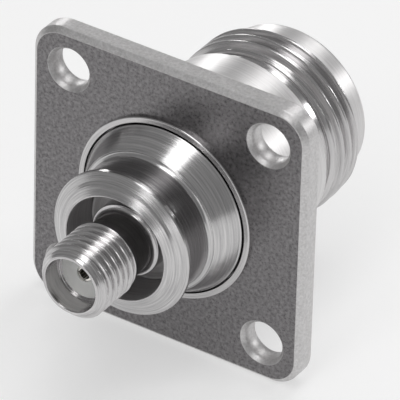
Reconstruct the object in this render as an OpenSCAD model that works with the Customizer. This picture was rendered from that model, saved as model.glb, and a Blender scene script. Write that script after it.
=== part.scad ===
// Square-flange coaxial adapter: a large screw-on socket on one side of the
// flange and a small one on the other, with one 50 ohm line running through.
// The axis lies along Y. The large socket points to +Y, the small one to -Y,
// and Y = 0 is the flange face on the small socket's side.

/* [Flange] */
// Side of the square flange
flange_side = 25.4; // [24.5:0.1:32]
// Thickness of the flange
flange_t = 2; // [1.5:0.1:4]
// Radius of the flange's corners
flange_corner_r = 2.7; // [1:0.1:3.5]
// Chamfer round the face on the small socket's side
front_chamfer = 0.45; // [0.1:0.05:0.6]
// Chamfer round the face on the large socket's side
back_chamfer = 0.25; // [0.1:0.05:0.5]
// Distance between neighbouring mounting holes
hole_spacing = 18.5; // [18.1:0.1:19.4]
// Diameter of the mounting holes
hole_d = 3.4; // [2.6:0.1:3.6]
// Chamfer at both mouths of each mounting hole
hole_chamfer = 0.3; // [0.1:0.05:0.4]
// Outside diameter of the raised ring round the housing's foot
ring_d = 16; // [15.6:0.1:17]
// Height of that ring above the flange face
ring_h = 0.35; // [0.2:0.05:0.8]

/* [Large socket] */
// Outside diameter of the plain barrel behind the flange
barrel_d = 15.8; // [15:0.05:17]
// Length of the plain barrel
barrel_len = 9.1; // [7.5:0.1:20]
// Diameter of the relief groove between barrel and thread
relief_d = 14.3; // [13.2:0.05:14.8]
// Width of the relief groove
relief_len = 1.4; // [0.8:0.1:4]
// Major diameter of the coupling thread
thread_d = 15.74; // [15:0.02:17]
// Length of the threaded part, with its run-outs
thread_len = 3.85; // [3:0.05:12]
// Pitch of the coupling thread, 24 to the inch
thread_pitch = 1.058; // [0.7:0.001:1.3]
// Outside diameter of the plain nose in front of the thread
nose_d = 13.9; // [12.5:0.05:14.2]
// Length of that nose
nose_len = 2.05; // [1:0.05:4]
// Chamfer at the nose's outer edge
nose_chamfer = 0.25; // [0.1:0.05:0.5]
// Diameter of the mouth that takes the plug's sleeve
mouth_d = 8.1; // [7.8:0.05:9.5]
// Depth of the mouth, down to the seat of the sleeve
mouth_depth = 9.1; // [8:0.1:10.5]
// Chamfer at the mouth
mouth_chamfer = 0.35; // [0.1:0.05:0.6]
// Bore of the line behind the mouth
line_d = 7; // [6.6:0.05:7.4]

/* [Large insulator and contact] */
// Length of the insulator's slim end, in the line bore
bead_len = 2.4; // [1.2:0.1:4]
// Diameter of the insulator's collar, which the housing clamps
bead_collar_d = 9.2; // [8.4:0.1:9.6]
// Thickness of that collar
bead_collar_t = 2; // [1:0.1:2.5]
// Outside diameter of the socket contact
contact_d = 3.04; // [2.6:0.02:3.6]
// Bore of the socket contact
contact_bore_d = 1.65; // [1.3:0.01:1.8]
// Depth of the socket contact's bore
contact_bore_depth = 4; // [2.5:0.1:4.4]
// Distance from the seat of the sleeve to the contact's tip
contact_reach = 4.9; // [4.5:0.1:7]
// Diameter of the contact's stem inside the insulator
stem_d = 2.1; // [1.7:0.05:2.5]
// Width of the slots between the contact's fingers
slot_w = 0.25; // [0.1:0.05:0.4]
// Length of those slots
slot_len = 3.6; // [1.5:0.1:3.9]

/* [Housing] */
// Diameter of the housing's foot, inside the flange's ring
foot_d = 14.7; // [14:0.1:15.2]
// Depth that the foot is let into the flange
foot_depth = 0.6; // [0.3:0.05:1.2]
// Height of the foot's rim above the flange face
foot_h = 0.5; // [0.4:0.05:1.5]
// Height of the cone above the foot
cone_h = 2; // [1:0.1:4]
// Diameter at the top of the cone
cone_top_d = 12.4; // [12.1:0.1:13.6]
// Diameter of the neck
neck_d = 11.6; // [10.4:0.1:11.9]
// Length of the neck, between its two fillets' ends
neck_len = 2.8; // [1.4:0.05:5]
// Diameter of the collar at the housing's end
collar_d = 12.6; // [12.3:0.1:14]
// Width of the collar's plain land
collar_land = 0.4; // [0.2:0.05:1.5]
// Diameter where the end's outer slope turns into its inner slope
slope_mid_d = 11.3; // [10.2:0.1:11.6]
// Rise of the outer slope
slope_outer_h = 0.3; // [0.2:0.05:1]
// Rise of the inner slope
slope_inner_h = 0.65; // [0.3:0.05:1.5]
// Diameter of the ring-shaped recess round the small barrel
recess_d = 9; // [8:0.02:9.6]
// Depth of that recess
recess_depth = 3.6; // [2.5:0.1:4.5]
// Diameter of the screwed spigot that holds the housing in the flange
spigot_d = 11.2; // [10.4:0.1:12]

/* [Small socket] */
// Diameter of the small barrel where it is pressed into the housing
seat_d = 6.2; // [6:0.02:6.8]
// Depth of that seat below the recess
seat_depth = 3; // [2:0.1:4]
// Length of the seat's diameter that shows inside the recess
seat_shoulder = 2.1; // [1:0.05:3]
// Diameter of the relief behind the small thread
small_relief_d = 5.3; // [5:0.02:5.6]
// Length of that relief
small_relief_len = 2.65; // [1:0.05:4]
// Major diameter of the small coupling thread
small_thread_d = 6.24; // [6:0.01:6.6]
// Length of the small threaded part, with its run-outs
small_thread_len = 4.35; // [3.5:0.05:9]
// Pitch of the small coupling thread, 36 to the inch
small_thread_pitch = 0.706; // [0.4:0.001:0.9]
// Diameter of the small barrel's end face
tip_d = 5.1; // [4.9:0.02:5.5]
// Length of the tapered tip in front of the small thread
tip_len = 0.55; // [0.2:0.05:0.8]
// Diameter of the small socket's mouth
small_mouth_d = 4.6; // [4.3:0.02:4.8]
// Depth of the small socket's mouth, down to the insulator
small_mouth_depth = 1.9; // [1.2:0.05:2.5]
// Outside diameter of the small insulator
small_bead_d = 4.1; // [3.6:0.02:4.2]
// Outside diameter of the small contact
small_contact_d = 1.27; // [1.1:0.01:1.5]
// Bore of the small contact
small_contact_bore_d = 0.94; // [0.8:0.01:1]
// Depth of the small contact's bore
small_contact_bore_depth = 2.6; // [1.5:0.1:4]
// Distance from the small insulator's face back to the small contact's tip
small_contact_set_back = 0.1; // [0:0.05:0.5]
// Diameter of the small contact's tail, inside the large contact's stem
tail_d = 1; // [0.6:0.05:1.05]
// Length of that tail
tail_len = 2.4; // [1:0.1:2.4]
// Width of the slots between the small contact's fingers
small_slot_w = 0.14; // [0.06:0.02:0.2]
// Length of those slots
small_slot_len = 1.8; // [0.8:0.1:2]

/* [Fits] */
// Radial gap where one turned piece is pressed or screwed into another
press_gap = 0.01; // [0:0.01:0.05]
// Radial gap between the foot of the housing and the flange's ring
foot_gap = 0.05; // [0.05:0.05:0.2]
// Radial gap round an insulator, and round a contact inside one
bead_gap = 0.02; // [0.01:0.01:0.06]
// Gap left between faces that meet end to end
face_gap = 0.01; // [0:0.01:0.05]

/* [Hidden] */
$fn = 96;
// Overlap that lets one cut run clear of a face
cut = 0.5;
// Edge break on contacts, insulators and hidden corners
edge_break = 0.15;
// Angle between a thread's flanks, and the shares of its pitch that its crest and its root take
thread_angle = 60;
crest_share = 1 / 8;
root_share = 1 / 4;
// Radius of the fillet where the neck starts
neck_fillet = (cone_top_d - neck_d) / 2;

// Stations along the axis, counted from the flange face towards the small socket
barrel_end = -flange_t - barrel_len;
relief_end = barrel_end - relief_len;
thread_end = relief_end - thread_len;
large_end = thread_end - nose_len;
sleeve_seat = large_end + mouth_depth;
bead_step = sleeve_seat + bead_len;
clamp_plane = bead_step + bead_collar_t;
contact_tip = sleeve_seat - contact_reach;
cone_top = foot_h + cone_h;
neck_top = cone_top + neck_len;
collar_base = neck_top + (collar_d - neck_d) / 2;
collar_top = collar_base + collar_land;
slope_mid = collar_top + slope_outer_h;
housing_top = slope_mid + slope_inner_h;
recess_floor = housing_top - recess_depth;
seat_floor = recess_floor - seat_depth;
seat_top = recess_floor + seat_shoulder;
small_relief_top = seat_top + small_relief_len;
small_thread_top = small_relief_top + small_thread_len;
small_end = small_thread_top + tip_len;
small_bead_face = small_end - small_mouth_depth;
small_contact_tip = small_bead_face - small_contact_set_back;
small_line_d = small_bead_d + 2 * bead_gap;

// Turns children, drawn along +Z, so that +Z becomes -Y
module along_axis() {
    rotate([90, 0, 0]) children();
}

// Turned solid from [radius, station] points
module turned(points) {
    along_axis() rotate_extrude() polygon(points);
}

// Profile of a thread between two stations, as [radius, station] points. Each turn of the thread is
// a closed ring here, set one pitch from the next.
function thread_rings(d, pitch, from, to) =
    let (count = floor(abs(to - from) / pitch),
         run_out = (abs(to - from) - count * pitch) / 2,
         flank = (1 - crest_share - root_share) / 2 * pitch,
         root_r = d / 2 - flank / tan(thread_angle / 2))
    [for (ring = [0 : count - 1])
        let (foot = run_out + (ring + root_share / 2) * pitch,
             rise = [0, flank, flank + crest_share * pitch, 2 * flank + crest_share * pitch])
        for (corner = [0 : 3])
            [corner == 0 || corner == 3 ? root_r : d / 2, from + sign(to - from) * (foot + rise[corner])]];

// Round hole between two stations
module bore(d, from, to) {
    along_axis() translate([0, 0, from]) cylinder(h = to - from, d = d);
}

// Slots across a socket contact, which split it into four fingers
module finger_slots(tip, len, width, d, towards) {
    base = tip + towards * len;
    along_axis()
        for (turn = [0, 90])
            rotate([0, 0, turn])
                translate([-d / 2 - cut, -width / 2, min(base, tip - towards * cut)])
                    cube([d + 2 * cut, width, len + cut]);
}

// Flange plate with round corners and a chamfer round each face
module flange_plate() {
    half = flange_side / 2;
    reach = half - flange_corner_r;
    edge = [[0, 0], [half - front_chamfer, 0], [half, -front_chamfer], [half, back_chamfer - flange_t],
            [half - back_chamfer, -flange_t], [0, -flange_t]];
    corner = [for (point = edge) [max(point[0] - reach, 0), point[1]]];
    for (x = [-reach, reach], z = [-reach, reach])
        translate([x, 0, z]) turned(corner);
    for (turn = [0, 90, 180, 270])
        rotate([0, turn, 0])
            translate([0, 0, -reach])
                linear_extrude(2 * reach)
                    polygon([for (point = edge) [point[0], -point[1]]]);
}

// The four mounting holes, with a chamfer at each mouth
module mounting_holes() {
    offset = hole_spacing / 2;
    for (x = [-offset, offset], z = [-offset, offset])
        translate([x, 0, z]) {
            bore(hole_d, -flange_t - cut, cut);
            turned([[0, cut], [hole_d / 2 + hole_chamfer + cut, cut], [hole_d / 2, -hole_chamfer],
                    [0, -hole_chamfer]]);
            turned([[0, -flange_t - cut], [hole_d / 2 + hole_chamfer + cut, -flange_t - cut],
                    [hole_d / 2, hole_chamfer - flange_t], [0, hole_chamfer - flange_t]]);
        }
}

// Flange, plain barrel, threaded barrel and nose, turned from one bar
module flange_shell() {
    color([0.72, 0.72, 0.71])
    difference() {
        union() {
            flange_plate();
            turned([[0, ring_h], [ring_d / 2 - edge_break, ring_h], [ring_d / 2, ring_h - edge_break],
                    [ring_d / 2, -flange_t / 2], [0, -flange_t / 2]]);
            turned([[0, -flange_t / 2], [barrel_d / 2, -flange_t / 2],
                    [barrel_d / 2, barrel_end + edge_break], [barrel_d / 2 - edge_break, barrel_end],
                    [relief_d / 2, barrel_end], [relief_d / 2, relief_end],
                    each thread_rings(thread_d, thread_pitch, relief_end, thread_end),
                    [nose_d / 2, thread_end], [nose_d / 2, large_end + nose_chamfer],
                    [nose_d / 2 - nose_chamfer, large_end], [0, large_end]]);
        }
        mounting_holes();
        turned([[0, large_end - cut], [mouth_d / 2 + mouth_chamfer + cut, large_end - cut],
                [mouth_d / 2, large_end + mouth_chamfer], [mouth_d / 2, sleeve_seat],
                [line_d / 2, sleeve_seat], [line_d / 2, bead_step], [bead_collar_d / 2 + bead_gap, bead_step],
                [bead_collar_d / 2 + bead_gap, clamp_plane], [spigot_d / 2 + press_gap, clamp_plane],
                [spigot_d / 2 + press_gap, -foot_depth], [foot_d / 2 + foot_gap, -foot_depth],
                [foot_d / 2 + foot_gap, ring_h + cut], [0, ring_h + cut]]);
    }
}

// Outline of the housing from its foot to its sloping end, with a fillet at the neck's foot
module housing_outline() {
    difference() {
        polygon([[0, face_gap - foot_depth], [foot_d / 2, face_gap - foot_depth],
                 [foot_d / 2, foot_h - edge_break], [foot_d / 2 - edge_break, foot_h],
                 [cone_top_d / 2, cone_top],
                 [neck_d / 2, cone_top + neck_fillet], [neck_d / 2, neck_top], [collar_d / 2, collar_base],
                 [collar_d / 2, collar_top], [slope_mid_d / 2, slope_mid], [recess_d / 2, housing_top],
                 [0, housing_top]]);
        translate([cone_top_d / 2, cone_top + neck_fillet]) circle(r = neck_fillet);
    }
}

// Housing of the small side: foot, cone, neck and hollow collar, screwed into the flange
module housing() {
    color([0.78, 0.78, 0.77])
    difference() {
        union() {
            along_axis() rotate_extrude() housing_outline();
            turned([[0, clamp_plane + face_gap], [spigot_d / 2 - edge_break, clamp_plane + face_gap],
                    [spigot_d / 2, clamp_plane + face_gap + edge_break], [spigot_d / 2, 0], [0, 0]]);
        }
        bore(recess_d, recess_floor, housing_top + cut);
        bore(seat_d + 2 * press_gap, seat_floor, recess_floor + cut);
        bore(small_line_d, clamp_plane - cut, seat_floor + cut);
    }
}

// Small threaded barrel, pressed into the housing
module small_barrel() {
    base = seat_floor + face_gap;
    color([0.8, 0.8, 0.79])
    turned([[small_line_d / 2, base], [seat_d / 2 - edge_break, base], [seat_d / 2, base + edge_break],
            [seat_d / 2, seat_top - edge_break], [seat_d / 2 - edge_break, seat_top],
            [small_relief_d / 2, seat_top], [small_relief_d / 2, small_relief_top],
            each thread_rings(small_thread_d, small_thread_pitch, small_relief_top, small_thread_top),
            [tip_d / 2, small_end], [small_mouth_d / 2, small_end], [small_mouth_d / 2, small_bead_face],
            [small_line_d / 2, small_bead_face]]);
}

// Stepped insulator of the large socket, held between the shell's step and the housing
module large_insulator() {
    color([0.93, 0.93, 0.9])
    turned([[stem_d / 2 + bead_gap, sleeve_seat], [line_d / 2 - bead_gap, sleeve_seat],
            [line_d / 2 - bead_gap, bead_step + face_gap], [bead_collar_d / 2, bead_step + face_gap],
            [bead_collar_d / 2, clamp_plane], [stem_d / 2 + bead_gap, clamp_plane]]);
}

// Insulator of the small socket, from the housing's inner end to the mouth
module small_insulator() {
    color([0.95, 0.95, 0.93])
    turned([[small_contact_d / 2 + bead_gap, clamp_plane + face_gap],
            [small_bead_d / 2, clamp_plane + face_gap], [small_bead_d / 2, small_bead_face],
            [small_contact_d / 2 + bead_gap, small_bead_face]]);
}

// Slotted socket contact of the large side, with its stem through the insulator
module large_contact() {
    color([0.83, 0.82, 0.78])
    difference() {
        turned([[0, contact_tip], [contact_d / 2 - edge_break, contact_tip],
                [contact_d / 2, contact_tip + edge_break], [contact_d / 2, sleeve_seat - face_gap],
                [stem_d / 2, sleeve_seat - face_gap], [stem_d / 2, clamp_plane], [0, clamp_plane]]);
        bore(contact_bore_d, contact_tip - cut, contact_tip + contact_bore_depth);
        bore(tail_d + 2 * press_gap, clamp_plane - tail_len - edge_break, clamp_plane + cut);
        finger_slots(contact_tip, slot_len, slot_w, contact_d, 1);
    }
}

// Slotted socket contact of the small side, whose tail sits in the large contact's stem
module small_contact() {
    color([0.83, 0.82, 0.78])
    difference() {
        turned([[0, clamp_plane - tail_len], [tail_d / 2, clamp_plane - tail_len],
                [tail_d / 2, clamp_plane + face_gap], [small_contact_d / 2, clamp_plane + face_gap],
                [small_contact_d / 2, small_contact_tip], [0, small_contact_tip]]);
        bore(small_contact_bore_d, small_contact_tip - small_contact_bore_depth, small_contact_tip + cut);
        finger_slots(small_contact_tip, small_slot_len, small_slot_w, small_contact_d, -1);
    }
}

flange_shell();
housing();
small_barrel();
large_insulator();
small_insulator();
large_contact();
small_contact();
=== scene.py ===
"""Square-flange coaxial adapter: the looks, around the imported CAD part.

The axis lies along Y, with the small socket towards -Y. In this script "station" means the
distance along the axis from the flange's face towards the small socket, so station = -y.
"""
import math

import bmesh
import bpy
import numpy as np
from mathutils import Matrix, Vector


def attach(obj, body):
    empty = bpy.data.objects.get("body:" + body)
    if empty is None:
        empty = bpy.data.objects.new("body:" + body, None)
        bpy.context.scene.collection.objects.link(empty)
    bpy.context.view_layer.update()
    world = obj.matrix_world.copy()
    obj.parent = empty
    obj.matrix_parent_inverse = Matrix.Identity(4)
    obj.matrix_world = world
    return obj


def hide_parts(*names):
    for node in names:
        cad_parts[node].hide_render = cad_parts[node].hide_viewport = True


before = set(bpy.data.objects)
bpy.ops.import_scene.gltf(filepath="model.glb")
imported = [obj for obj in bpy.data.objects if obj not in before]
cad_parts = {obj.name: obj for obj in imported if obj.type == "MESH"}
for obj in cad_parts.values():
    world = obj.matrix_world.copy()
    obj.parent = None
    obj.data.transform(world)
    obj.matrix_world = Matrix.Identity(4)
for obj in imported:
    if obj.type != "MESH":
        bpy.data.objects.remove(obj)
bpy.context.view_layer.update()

# ---------------------------------------------------------------------------
# Flange plate. Nickel-plated brass, sawn and milled square from the turned
# bar, with rounded corners, a bevel round both faces and four drilled and
# countersunk screw holes. Its front is speckled, and its colour is darkened
# as painted shade, standing in for the shadowed floor that it reflects; its edges are brighter.
# ---------------------------------------------------------------------------
MM = 0.001
FLANGE_HALF = 12.7
FLANGE_THICK = 2.0
FLANGE_CORNER = 2.7
FRONT_BEVEL = 0.45
BACK_BEVEL = 0.25
HOLE_AT = 9.25
HOLE_R = 1.7
HOLE_CHAMFER = 0.3
PLATE_EYE_R = 7.6


def closed_mesh(name, patches, materials, pick=None):
    """Joins patches into one closed mesh with smooth shading. Each patch is a grid of points, shape
    (rows, columns, 3) in mm, whose neighbours span quads. Points that coincide are merged, and the
    faces are turned to point outwards. pick(centre, normal) gives the number of a face's material."""
    points, faces, start = [], [], 0
    for grid in patches:
        rows, columns = grid.shape[:2]
        index = start + np.arange(rows * columns).reshape(rows, columns)
        quads = np.stack([index[:-1, :-1], index[1:, :-1], index[1:, 1:], index[:-1, 1:]], axis=-1)
        points.append(grid.reshape(-1, 3))
        faces.append(quads.reshape(-1, 4))
        start += rows * columns
    mesh = bpy.data.meshes.new(name)
    mesh.from_pydata((np.concatenate(points) * MM).tolist(), [], np.concatenate(faces).tolist())
    work = bmesh.new()
    work.from_mesh(mesh)
    bmesh.ops.remove_doubles(work, verts=work.verts, dist=0.0005 * MM)
    bmesh.ops.recalc_face_normals(work, faces=work.faces)
    for face in work.faces:
        face.smooth = True
        if pick:
            face.material_index = pick(face.calc_center_median() / MM, face.normal)
    work.to_mesh(mesh)
    work.free()
    for material in materials:
        mesh.materials.append(material)
    piece = bpy.data.objects.new(name, mesh)
    bpy.context.scene.collection.objects.link(piece)
    return piece


def rounded_square(half, corner, per_side, per_corner):
    """Outline of a rounded square in the X-Z plane, counter-clockwise from the middle of the +X
    side, as points and outward normals: straight runs joined by quarter circles."""
    side = np.linspace(0, 1, per_side, endpoint=False)
    bend = np.linspace(0, math.pi / 2, per_corner, endpoint=False)
    reach = half - corner
    run_up = np.stack([np.full(per_side, half), side * reach], axis=1)
    turn = np.stack([reach + corner * np.cos(bend), reach + corner * np.sin(bend)], axis=1)
    run_on = np.stack([reach * (1 - side), np.full(per_side, half)], axis=1)
    points = np.concatenate([run_up, turn, run_on])
    normals = np.concatenate([np.tile([1.0, 0.0], (per_side, 1)),
                              np.stack([np.cos(bend), np.sin(bend)], axis=1),
                              np.tile([0.0, 1.0], (per_side, 1))])
    turned = []
    for quarter in range(4):
        c, s = round(math.cos(quarter * math.pi / 2)), round(math.sin(quarter * math.pi / 2))
        spin = np.array([[c, s], [-s, c]], float)
        turned.append((points @ spin, normals @ spin))
    return np.concatenate([p for p, _ in turned]), np.concatenate([n for _, n in turned])


def quadrant_rim(contour, eye):
    """Closed loop round one screw hole's quarter of the plate: out along the +X axis from the eye,
    round the outline to the +Z axis, in along it, and back along the eye's quarter circle."""
    quarter = len(contour) // 4
    outside = contour[:quarter + 1]
    share = np.linspace(0, 1, 17)[:-1, None]
    out = np.array([eye, 0.0]) * (1 - share) + outside[0] * share
    back = outside[-1] * (1 - share) + np.array([0.0, eye]) * share
    angle = np.linspace(math.pi / 2, 0, 65)
    inside = eye * np.stack([np.cos(angle), np.sin(angle)], axis=1)
    return np.concatenate([out, outside[:-1], back, inside])


def plate_quarters(contour_front, contour_back, eye):
    """For each screw hole, a sheet that runs from the quarter's edge on the front face to the hole,
    down its countersink, wall and back countersink, and out again on the back face. A point's place
    across a face is (1 - v) * hole edge + v * quarter's edge, along rays from the hole's centre."""
    centre = np.array([HOLE_AT, HOLE_AT])
    sheets = []
    for quarter in range(4):
        c, s = round(math.cos(quarter * math.pi / 2)), round(math.sin(quarter * math.pi / 2))
        spin = np.array([[c, s], [-s, c]], float)
        rows = []
        for contour, station, towards in ((contour_front, 0.0, 1), (contour_back, -FLANGE_THICK, -1)):
            rim = quadrant_rim(contour, eye)
            ray = (rim - centre) / np.linalg.norm(rim - centre, axis=1, keepdims=True)
            mouth = centre + (HOLE_R + HOLE_CHAMFER) * ray
            face = [rim * v + mouth * (1 - v) for v in (1, 0.985, 0.8, 0.5, 0.2, 0.06, 0.015, 0)]
            cone = [(HOLE_R + HOLE_CHAMFER * (1 - t), HOLE_CHAMFER * (1.12 * t)) for t in (0.15, 0.5, 0.85)]
            wall = [(HOLE_R, HOLE_CHAMFER * 1.15), (HOLE_R, FLANGE_THICK / 2)]
            sink = [np.column_stack([centre + r * ray, np.full(len(ray), station - towards * depth)])
                    for r, depth in cone + wall]
            flat = [np.column_stack([p, np.full(len(p), station)]) for p in face]
            rows.append(flat + sink)
        sheet = np.array(rows[0] + rows[1][::-1][1:])
        sheet[..., :2] = sheet[..., :2] @ spin
        sheets.append(np.stack([sheet[..., 0], -sheet[..., 2], sheet[..., 1]], axis=-1))
    return sheets


def edge_band(points, normals):
    """The plate's edge: the outline carried over the front bevel, down the side and over the back
    bevel. Each bevel is flat at 45 degrees, with both of its corners worn round by 0.05 mm."""
    worn = 0.05
    inset, station = [], []
    for size, face, towards in ((FRONT_BEVEL, 0.0, -1), (BACK_BEVEL, -FLANGE_THICK, 1)):
        path = [(size, 0), (size - worn, 0.3 * worn), (size - 2 * worn, 1.4 * worn), (size / 2, size / 2),
                (1.4 * worn, size - 2 * worn), (0.3 * worn, size - worn), (0, size), (0, size + worn)]
        inset += [step for step, _ in path[::-towards]]
        station += [face + towards * drop for _, drop in path[::-towards]]
    inset, station = np.array(inset)[:, None], np.array(station)[:, None]
    loop = np.concatenate([points, points[:1]])
    out = np.concatenate([normals, normals[:1]])
    x, z = loop[:, 0] - out[:, 0] * inset, loop[:, 1] - out[:, 1] * inset
    return np.stack([x, np.broadcast_to(-station, x.shape), z], axis=-1)


def ring_wall(radius, stations, columns):
    """Cylinder wall round the axis: x = r cos t, z = r sin t, at each of the stations."""
    t = np.linspace(0, 2 * math.pi, columns + 1)
    grid = [np.stack([radius * np.cos(t), np.full_like(t, -a), radius * np.sin(t)], axis=1) for a in stations]
    return np.array(grid)


def grainy_nickel(name, colour, dark, roughness, grain):
    """Tumbled nickel plating: a speckled grey metal whose grain, in mm, also pits the surface."""
    material = bpy.data.materials.new(name)
    material.use_nodes = True
    nodes, links = material.node_tree.nodes, material.node_tree.links
    shader = nodes["Principled BSDF"]
    shader.inputs["Metallic"].default_value = 1.0
    place = nodes.new("ShaderNodeTexCoord")
    speckle = nodes.new("ShaderNodeTexNoise")
    speckle.inputs["Scale"].default_value = 1 / (grain * MM)
    speckle.inputs["Detail"].default_value = 6.0
    speckle.inputs["Roughness"].default_value = 0.7
    links.new(place.outputs["Object"], speckle.inputs["Vector"])
    tone = nodes.new("ShaderNodeValToRGB")
    tone.color_ramp.elements[0].position = 0.35
    tone.color_ramp.elements[0].color = (*dark, 1)
    tone.color_ramp.elements[1].position = 0.7
    tone.color_ramp.elements[1].color = (*colour, 1)
    links.new(speckle.outputs["Fac"], tone.inputs["Fac"])
    links.new(tone.outputs["Color"], shader.inputs["Base Color"])
    shine = nodes.new("ShaderNodeMapRange")
    shine.inputs["To Min"].default_value = roughness * 0.75
    shine.inputs["To Max"].default_value = roughness * 1.35
    links.new(speckle.outputs["Fac"], shine.inputs["Value"])
    links.new(shine.outputs["Result"], shader.inputs["Roughness"])
    bump = nodes.new("ShaderNodeBump")
    bump.inputs["Strength"].default_value = 0.5
    bump.inputs["Distance"].default_value = 0.02 * MM
    links.new(speckle.outputs["Fac"], bump.inputs["Height"])
    links.new(bump.outputs["Normal"], shader.inputs["Normal"])
    return material


outline, outward = rounded_square(FLANGE_HALF, FLANGE_CORNER, 40, 24)
front_edge = outline - outward * FRONT_BEVEL
back_edge = outline - outward * BACK_BEVEL
plate_patches = plate_quarters(front_edge, back_edge, PLATE_EYE_R)
plate_patches.append(edge_band(outline, outward))
plate_patches.append(ring_wall(PLATE_EYE_R, (0.0, -FLANGE_THICK)[::-1], 256))
# The front's base colour is darkened as painted shade for the dark floor that it reflects; its speckle is the
# plating's grain.
painted_shade_face = grainy_nickel("painted_shade_face", (0.3, 0.29, 0.295), (0.12, 0.115, 0.118), 0.27, 0.3)
sawn_edge = grainy_nickel("sawn_edge", (0.72, 0.71, 0.71), (0.5, 0.49, 0.49), 0.42, 0.2)
# Faces that look straight along -Y, the flat front, get the painted shade; all others get the edge nickel.
flange_plate = closed_mesh("flange_plate", plate_patches, (painted_shade_face, sawn_edge),
                           lambda centre, normal: 0 if normal.y < -0.98 else 1)
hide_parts("flange_shell")
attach(flange_plate, "root")

# ---------------------------------------------------------------------------
# Large threaded barrel. Turned in one piece with the flange from brass bar:
# the raised ring on the small side, the plain barrel, the relief groove, the
# 5/8-24 coupling thread and the plain nose round the plug's mouth.
# ---------------------------------------------------------------------------
RING_R = 8.0
RING_TOP = 0.35
FOOT_HOLE_R = 7.4
BARREL_R = 7.9
BARREL_END = -11.1
RELIEF_R = 7.15
RELIEF_END = -12.5
THREAD_R = 7.87
THREAD_PITCH = 1.0583
THREAD_START = -16.35
THREAD_PHASE = 0.04
NOSE_R = 6.95
LARGE_END = -18.4
MOUTH_R = 4.05
SLEEVE_SEAT = -9.3
LINE_R = 3.5
# Stations inside the plate where the ring and the barrel meet it, and the hidden steps of the bore
RING_ROOT = -0.3
BARREL_ROOT = -1.0
BEAD_STEP = -6.9
BEAD_BORE_R = 4.62
CLAMP_PLANE = -4.0
SPIGOT_BORE_R = 5.61
FOOT_FLOOR = -0.6
# The thread's stretch of the profile starts a little above the relief, for thread_radius to shape
THREAD_LINE_R = RELIEF_R + 0.06


def filleted(profile):
    """Profile of [station, radius, fillet] corners as points, each corner with a fillet radius cut
    by an arc: tangent points lie fillet * tan(turn / 2) from the corner, on both of its sides."""
    line = []
    for k, (station, radius, fillet) in enumerate(profile):
        here = np.array([station, radius])
        if fillet == 0:
            line.append(here)
            continue
        before = np.array(profile[k - 1][:2]) - here
        after = np.array(profile[(k + 1) % len(profile)][:2]) - here
        before, after = before / np.linalg.norm(before), after / np.linalg.norm(after)
        half = math.acos(np.clip(before @ after, -1, 1)) / 2
        reach = fillet / math.tan(half)
        middle = here + (before + after) / np.linalg.norm(before + after) * fillet / math.sin(half)
        start, stop = here + before * reach - middle, here + after * reach - middle
        sweep = math.atan2(start[0] * stop[1] - start[1] * stop[0], start @ stop)
        for share in np.linspace(0, 1, 6):
            c, s = math.cos(sweep * share), math.sin(sweep * share)
            line.append(middle + np.array([start[0] * c - start[1] * s, start[0] * s + start[1] * c]))
    return np.array(line)


def spaced(line, step):
    """The same closed line with extra points, so that none lie further apart than step, and with
    one close to each corner to keep flat faces flat under smooth shading."""
    out = []
    for here, there in zip(line, np.roll(line, -1, axis=0)):
        length = np.linalg.norm(there - here)
        shares = [0.0]
        if length > 0.15:
            shares += [0.03 / length]
            shares += list(np.linspace(0, 1, max(2, math.ceil(length / step) + 1))[1:-1])
            shares += [1 - 0.03 / length]
        out += [here + (there - here) * share for share in shares]
    return np.array(out)


def thread_radius(station, angle, major, pitch, phase, start, stop):
    """Radius of a right-hand 60-degree thread, whose ridge follows station = pitch * (angle / turn + phase).
    A crest takes 1/8 of the pitch and a root 1/4, so the flanks fall by 0.3125 pitch / tan 30. Both
    corners are rounded by a smooth step. The ends are chamfered at 45 degrees, down to the root."""
    depth = 0.3125 * pitch / math.tan(math.pi / 6)
    along = station / pitch - angle / (2 * math.pi) - phase
    off = np.abs(along - np.round(along))
    fall = np.clip((off - 0.0625) / 0.3125, 0, 1)
    rounded = fall * fall * (3 - 2 * fall)
    ridge = major - depth * (0.7 * fall + 0.3 * rounded)
    inset = np.minimum(station - start, stop - station)
    return np.minimum(ridge, major - depth + np.clip(inset, 0, None))


def turned_surface(line, columns, thread=None):
    """A closed profile of [station, radius] points turned round the axis: x = r cos t, y = -station,
    z = r sin t. Where thread is given, its stretch of the profile follows thread_radius instead."""
    t = np.linspace(0, 2 * math.pi, columns + 1)
    station = np.repeat(line[:, :1], columns + 1, axis=1)
    radius = np.repeat(line[:, 1:], columns + 1, axis=1)
    if thread:
        major, pitch, phase, start, stop = thread
        cut = (station >= start) & (station <= stop) & (radius > major - 0.7 * pitch)
        shaped = thread_radius(station, t[None, :], major, pitch, phase, start, stop)
        radius = np.where(cut, shaped, radius)
    grid = np.stack([radius * np.cos(t), -station, radius * np.sin(t)], axis=-1)
    return np.concatenate([grid, grid[:1]])


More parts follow.
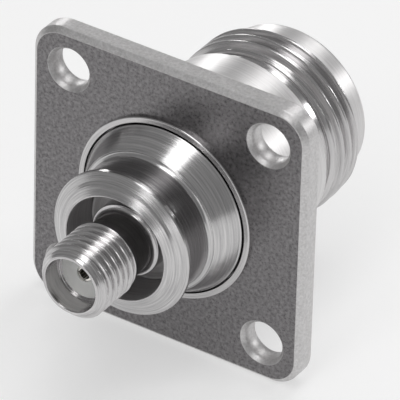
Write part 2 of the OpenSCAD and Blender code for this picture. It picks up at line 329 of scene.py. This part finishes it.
def turned_nickel(name, colour, dark, roughness, streak):
    """Turned nickel plating. The pattern's coordinates are the direction round the axis, drawn out
    some 40 times, and the station and radius, so its streaks run round the axis like tool marks."""
    material = bpy.data.materials.new(name)
    material.use_nodes = True
    nodes, links = material.node_tree.nodes, material.node_tree.links
    shader = nodes["Principled BSDF"]
    shader.inputs["Metallic"].default_value = 1.0
    place = nodes.new("ShaderNodeTexCoord")
    flat = nodes.new("ShaderNodeVectorMath")
    flat.operation = "MULTIPLY"
    flat.inputs[1].default_value = (1, 0, 1)
    links.new(place.outputs["Object"], flat.inputs[0])
    radius = nodes.new("ShaderNodeVectorMath")
    radius.operation = "LENGTH"
    links.new(flat.outputs["Vector"], radius.inputs[0])
    direction = nodes.new("ShaderNodeVectorMath")
    direction.operation = "NORMALIZE"
    links.new(flat.outputs["Vector"], direction.inputs[0])
    short = nodes.new("ShaderNodeVectorMath")
    short.operation = "SCALE"
    short.inputs["Scale"].default_value = 1.4
    links.new(direction.outputs["Vector"], short.inputs[0])
    along = nodes.new("ShaderNodeVectorMath")
    along.operation = "MULTIPLY"
    along.inputs[1].default_value = (0, 1 / (streak * MM), 0)
    links.new(place.outputs["Object"], along.inputs[0])
    spot = nodes.new("ShaderNodeVectorMath")
    links.new(short.outputs["Vector"], spot.inputs[0])
    links.new(along.outputs["Vector"], spot.inputs[1])
    across = nodes.new("ShaderNodeMath")
    across.operation = "MULTIPLY"
    across.inputs[1].default_value = 1 / (streak * MM)
    links.new(radius.outputs["Value"], across.inputs[0])
    marks = nodes.new("ShaderNodeTexNoise")
    marks.noise_dimensions = "4D"
    marks.inputs["Scale"].default_value = 1.0
    marks.inputs["Detail"].default_value = 4.0
    marks.inputs["Roughness"].default_value = 0.65
    links.new(spot.outputs["Vector"], marks.inputs["Vector"])
    links.new(across.outputs["Value"], marks.inputs["W"])
    tone = nodes.new("ShaderNodeValToRGB")
    tone.color_ramp.elements[0].position = 0.3
    tone.color_ramp.elements[0].color = (*dark, 1)
    tone.color_ramp.elements[1].position = 0.65
    tone.color_ramp.elements[1].color = (*colour, 1)
    links.new(marks.outputs["Fac"], tone.inputs["Fac"])
    links.new(tone.outputs["Color"], shader.inputs["Base Color"])
    shine = nodes.new("ShaderNodeMapRange")
    shine.inputs["To Min"].default_value = roughness * 0.6
    shine.inputs["To Max"].default_value = roughness * 1.4
    links.new(marks.outputs["Fac"], shine.inputs["Value"])
    links.new(shine.outputs["Result"], shader.inputs["Roughness"])
    bump = nodes.new("ShaderNodeBump")
    bump.inputs["Strength"].default_value = 0.35
    bump.inputs["Distance"].default_value = 0.01 * MM
    links.new(marks.outputs["Fac"], bump.inputs["Height"])
    links.new(bump.outputs["Normal"], shader.inputs["Normal"])
    return material


shell_line = filleted([
    (RING_TOP, FOOT_HOLE_R + 0.1, 0.05), (RING_TOP, RING_R, 0.12), (RING_ROOT, RING_R, 0),
    (BARREL_ROOT, BARREL_R, 0), (BARREL_END, BARREL_R, 0.15), (BARREL_END, RELIEF_R, 0.1),
    (RELIEF_END, RELIEF_R, 0.05), (RELIEF_END, THREAD_LINE_R, 0), (THREAD_START, THREAD_LINE_R, 0),
    (THREAD_START, NOSE_R, 0.1), (LARGE_END, NOSE_R, 0.25), (LARGE_END, MOUTH_R, 0.35),
    (SLEEVE_SEAT, MOUTH_R, 0.1), (SLEEVE_SEAT, LINE_R, 0.1), (BEAD_STEP, LINE_R, 0),
    (BEAD_STEP, BEAD_BORE_R, 0), (CLAMP_PLANE, BEAD_BORE_R, 0), (CLAMP_PLANE, SPIGOT_BORE_R, 0),
    (FOOT_FLOOR, SPIGOT_BORE_R, 0), (FOOT_FLOOR, FOOT_HOLE_R, 0)])
shell_line = spaced(shell_line, 0.05)
bright_nickel = turned_nickel("bright_nickel", (0.66, 0.65, 0.65), (0.42, 0.41, 0.415), 0.2, 0.09)
satin_nickel = turned_nickel("satin_nickel", (0.74, 0.73, 0.73), (0.56, 0.55, 0.55), 0.42, 0.12)


def barrel_finish(centre, normal):
    """Bright where the threading tool has cut, satin on the plain barrel and the nose."""
    radius = math.hypot(centre.x, centre.z)
    plain = radius > NOSE_R - 0.3 and (BARREL_END < -centre.y < 0 or -centre.y < THREAD_START)
    return 1 if plain else 0


large_thread = (THREAD_R, THREAD_PITCH, THREAD_PHASE, THREAD_START, RELIEF_END)
large_barrel = closed_mesh("large_barrel", [turned_surface(shell_line, 288, large_thread)],
                           (bright_nickel, satin_nickel), barrel_finish)
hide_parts("flange_shell")
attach(large_barrel, "root")

# ---------------------------------------------------------------------------
# Insulator and contact of the large socket. The bead is white PTFE, turned
# with a collar that the housing clamps; the contact is silver-plated bronze,
# drilled and slotted into four fingers. Both keep their CAD shapes.
# ---------------------------------------------------------------------------


def white_insulator(name, colour, roughness):
    """Turned PTFE: waxy white with faint cloudy patches and a soft surface."""
    material = bpy.data.materials.new(name)
    material.use_nodes = True
    nodes, links = material.node_tree.nodes, material.node_tree.links
    shader = nodes["Principled BSDF"]
    shader.inputs["Roughness"].default_value = roughness
    shader.inputs["IOR"].default_value = 1.35
    place = nodes.new("ShaderNodeTexCoord")
    clouds = nodes.new("ShaderNodeTexNoise")
    clouds.inputs["Scale"].default_value = 1 / (0.8 * MM)
    clouds.inputs["Detail"].default_value = 5.0
    links.new(place.outputs["Object"], clouds.inputs["Vector"])
    tone = nodes.new("ShaderNodeValToRGB")
    tone.color_ramp.elements[0].position = 0.3
    tone.color_ramp.elements[0].color = (*[c * 0.93 for c in colour], 1)
    tone.color_ramp.elements[1].position = 0.65
    tone.color_ramp.elements[1].color = (*colour, 1)
    links.new(clouds.outputs["Fac"], tone.inputs["Fac"])
    links.new(tone.outputs["Color"], shader.inputs["Base Color"])
    bump = nodes.new("ShaderNodeBump")
    bump.inputs["Strength"].default_value = 0.2
    bump.inputs["Distance"].default_value = 0.01 * MM
    links.new(clouds.outputs["Fac"], bump.inputs["Height"])
    links.new(bump.outputs["Normal"], shader.inputs["Normal"])
    return material


def dress(node, material):
    """Gives a CAD node's own mesh a material in every slot."""
    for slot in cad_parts[node].material_slots:
        slot.material = material


ptfe = white_insulator("ptfe", (0.9, 0.9, 0.88), 0.45)
silver = turned_nickel("contact_silver", (0.85, 0.83, 0.79), (0.6, 0.58, 0.54), 0.2, 0.05)
dress("large_insulator", ptfe)
dress("large_contact", silver)

# ---------------------------------------------------------------------------
# Housing of the small side. Nickel-plated brass, turned and bored: a foot
# sunk in the flange's ring, a cone, a waisted neck and a collar whose end
# slopes into a deep ring-shaped recess. Its spigot screws into the flange.
# ---------------------------------------------------------------------------
FIT_GAP = 0.01
FOOT_R = 7.35
FOOT_TOP = 0.5
CONE_TOP = 2.5
CONE_TOP_R = 6.2
NECK_R = 5.8
NECK_TOP = 5.3
COLLAR_R = 6.27
COLLAR_BASE = 5.8
COLLAR_TOP = 6.2
HOUSING_MOUTH_R = 4.5
HOUSING_TOP = 7.15
RECESS_FLOOR = 3.55
SEAT_FLOOR = 0.55
SEAT_R = 3.11
LINE_HOLE_R = 2.07

housing_line = filleted([
    (HOUSING_TOP, HOUSING_MOUTH_R, 0.08), (6.72, 5.36, 0.08), (6.52, 5.62, 0.1),
    (COLLAR_TOP, COLLAR_R, 0.12), (COLLAR_BASE, COLLAR_R, 0.08), (NECK_TOP, NECK_R, 0.15),
    (CONE_TOP, NECK_R, 0.38), (CONE_TOP, CONE_TOP_R, 0.04),
    (FOOT_TOP, FOOT_R - 0.1, 0.1), (FOOT_TOP - 0.1, FOOT_R, 0), (FOOT_FLOOR + FIT_GAP, FOOT_R, 0),
    (FOOT_FLOOR + FIT_GAP, SPIGOT_BORE_R - FIT_GAP, 0), (CLAMP_PLANE + FIT_GAP, SPIGOT_BORE_R - FIT_GAP, 0),
    (CLAMP_PLANE + FIT_GAP, LINE_HOLE_R, 0), (SEAT_FLOOR, LINE_HOLE_R, 0), (SEAT_FLOOR, SEAT_R, 0),
    (RECESS_FLOOR, SEAT_R, 0), (RECESS_FLOOR, HOUSING_MOUTH_R, 0.2)])
housing_nickel = turned_nickel("housing_nickel", (0.66, 0.65, 0.65), (0.36, 0.355, 0.36), 0.2, 0.1)
bored_nickel = turned_nickel("bored_nickel", (0.6, 0.59, 0.59), (0.4, 0.39, 0.395), 0.5, 0.1)


def housing_finish(centre, normal):
    """Satin inside the bored recess, bright outside it."""
    return 1 if math.hypot(centre.x, centre.z) < HOUSING_MOUTH_R + 0.05 else 0


housing = closed_mesh("housing_turned", [turned_surface(spaced(housing_line, 0.2), 256)],
                      (housing_nickel, bored_nickel), housing_finish)
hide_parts("housing")
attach(housing, "root")

# ---------------------------------------------------------------------------
# Small threaded barrel. Nickel-plated brass, pressed into the housing's
# recess: a plain shoulder, a relief, the 1/4-36 coupling thread and a
# chamfered end round the mouth that shows the insulator.
# ---------------------------------------------------------------------------
SMALL_THREAD_R = 3.12
SMALL_PITCH = 0.7056
SMALL_PHASE = 0.0
SMALL_THREAD_FROM = 8.3
SMALL_THREAD_TO = 12.95
SMALL_END = 13.2
SMALL_TIP_R = 2.55
SMALL_LINE_R = 2.7
SMALL_RELIEF_R = 2.65
SHOULDER_TOP = 5.65
SHOULDER_R = 3.1
SMALL_MOUTH_R = 2.3
SMALL_FACE = 11.3

small_line = filleted([
    (SMALL_END, SMALL_MOUTH_R, 0.08), (SMALL_END, SMALL_TIP_R, 0.08), (SMALL_THREAD_TO, SMALL_LINE_R, 0),
    (SMALL_THREAD_FROM, SMALL_LINE_R, 0), (SMALL_THREAD_FROM, SMALL_RELIEF_R, 0),
    (SHOULDER_TOP, SMALL_RELIEF_R, 0.38), (SHOULDER_TOP, SHOULDER_R, 0.06),
    (SEAT_FLOOR + FIT_GAP, SHOULDER_R, 0), (SEAT_FLOOR + FIT_GAP, LINE_HOLE_R, 0),
    (SMALL_FACE, LINE_HOLE_R, 0), (SMALL_FACE, SMALL_MOUTH_R, 0.05)])
small_thread = (SMALL_THREAD_R, SMALL_PITCH, SMALL_PHASE, SMALL_THREAD_FROM, SMALL_THREAD_TO)
small_barrel = closed_mesh("small_barrel_turned", [turned_surface(spaced(small_line, 0.035), 256, small_thread)],
                           (bright_nickel,))
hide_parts("small_barrel")
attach(small_barrel, "root")

# ---------------------------------------------------------------------------
# Insulator and contact of the small socket: a PTFE rod that fills the barrel
# up to the mouth's floor, and a silver-plated socket with slotted fingers,
# both turned. They keep their CAD shapes.
# ---------------------------------------------------------------------------
dress("small_insulator", ptfe)
dress("small_contact", silver)

# ---------------------------------------------------------------------------
# Studio: white paper under the flange's lower edge, soft lamps above, behind
# and in front, and a distant camera with a long lens.
# ---------------------------------------------------------------------------


def area_lamp(name, direction, distance, width, height, radiance):
    """A soft rectangular lamp, distance mm away in the given direction and facing the flange. Its
    power is pi * area * radiance, so that a mirror would show it at that radiance. Its height runs
    along the Y axis's image on it."""
    data = bpy.data.lights.new(name, "AREA")
    data.shape = "RECTANGLE"
    data.size, data.size_y = width * MM, height * MM
    data.energy = math.pi * width * height * MM * MM * radiance
    lamp = bpy.data.objects.new(name, data)
    bpy.context.scene.collection.objects.link(lamp)
    away = Vector(direction).normalized()
    across = Vector((0, 1, 0)).cross(away).normalized()
    lamp.matrix_world = (Matrix.Translation(away * distance * MM)
                         @ Matrix((across, away.cross(across), away)).transposed().to_4x4())
    return lamp


def white_paper(name, paint, glow):
    """White paper for the floor. The eye, metal and glass also see it glow a little, which keeps it
    near white under the object's shadow, while the light that it throws comes from its paint alone."""
    material = bpy.data.materials.new(name)
    material.use_nodes = True
    nodes, links = material.node_tree.nodes, material.node_tree.links
    shader = nodes["Principled BSDF"]
    shader.inputs["Base Color"].default_value = (paint, paint, paint, 1)
    shader.inputs["Roughness"].default_value = 1.0
    shader.inputs["Specular IOR Level"].default_value = 0.0
    ray = nodes.new("ShaderNodeLightPath")
    seen = nodes.new("ShaderNodeMath")
    seen.operation = "MAXIMUM"
    links.new(ray.outputs["Is Camera Ray"], seen.inputs[0])
    links.new(ray.outputs["Is Glossy Ray"], seen.inputs[1])
    either = nodes.new("ShaderNodeMath")
    either.operation = "MAXIMUM"
    links.new(seen.outputs["Value"], either.inputs[0])
    links.new(ray.outputs["Is Transmission Ray"], either.inputs[1])
    strength = nodes.new("ShaderNodeMath")
    strength.operation = "MULTIPLY"
    strength.inputs[1].default_value = glow
    links.new(either.outputs["Value"], strength.inputs[0])
    shader.inputs["Emission Color"].default_value = (1, 1, 1, 1)
    links.new(strength.outputs["Value"], shader.inputs["Emission Strength"])
    return material


FLOOR_REACH = 1500 * MM
FLOOR_Z = -FLANGE_HALF * MM
floor_corners = [(x * FLOOR_REACH, y * FLOOR_REACH, FLOOR_Z) for x, y in ((-1, -1), (1, -1), (1, 1), (-1, 1))]
floor_mesh = bpy.data.meshes.new("floor")
floor_mesh.from_pydata(floor_corners, [], [(0, 1, 2, 3)])
floor = bpy.data.objects.new("floor", floor_mesh)
bpy.context.scene.collection.objects.link(floor)
floor_mesh.materials.append(white_paper("white_paper", 0.5, 0.5))

area_lamp("overhead_strip", (0.06, 0.0, 1.0), 230, 90, 620, 2.6)
area_lamp("right_back", (0.63, 0.70, 0.335), 300, 60, 60, 9.0)
area_lamp("left_back", (-0.65, 0.70, 0.27), 300, 60, 60, 7.0)
area_lamp("front", (-0.06, -0.95, 0.30), 300, 70, 50, 3.0)
area_lamp("right_front", (0.30, -0.95, 0.05), 300, 50, 30, 3.0)

world = bpy.data.worlds.new("studio")
bpy.context.scene.world = world
world.use_nodes = True
world.node_tree.nodes["Background"].inputs["Color"].default_value = (1, 1, 1, 1)
world.node_tree.nodes["Background"].inputs["Strength"].default_value = 0.3

camera_data = bpy.data.cameras.new("camera")
camera_data.sensor_width = 36.0
camera_data.lens = 552.8
camera_data.clip_start = 0.01
camera = bpy.data.objects.new("camera", camera_data)
bpy.context.scene.collection.objects.link(camera)
camera_place = Vector((214.1, -332.7, 269.9)) * MM
right = Vector((0.8357, 0.5487, 0.0235))
up = Vector((-0.3251, 0.4597, 0.8264))
back = Vector((0.4427, -0.6983, 0.5625))
camera.matrix_world = Matrix.Translation(camera_place) @ Matrix((right, up, back)).transposed().to_4x4()
bpy.context.scene.camera = camera
bpy.context.scene.view_settings.view_transform = "Standard"
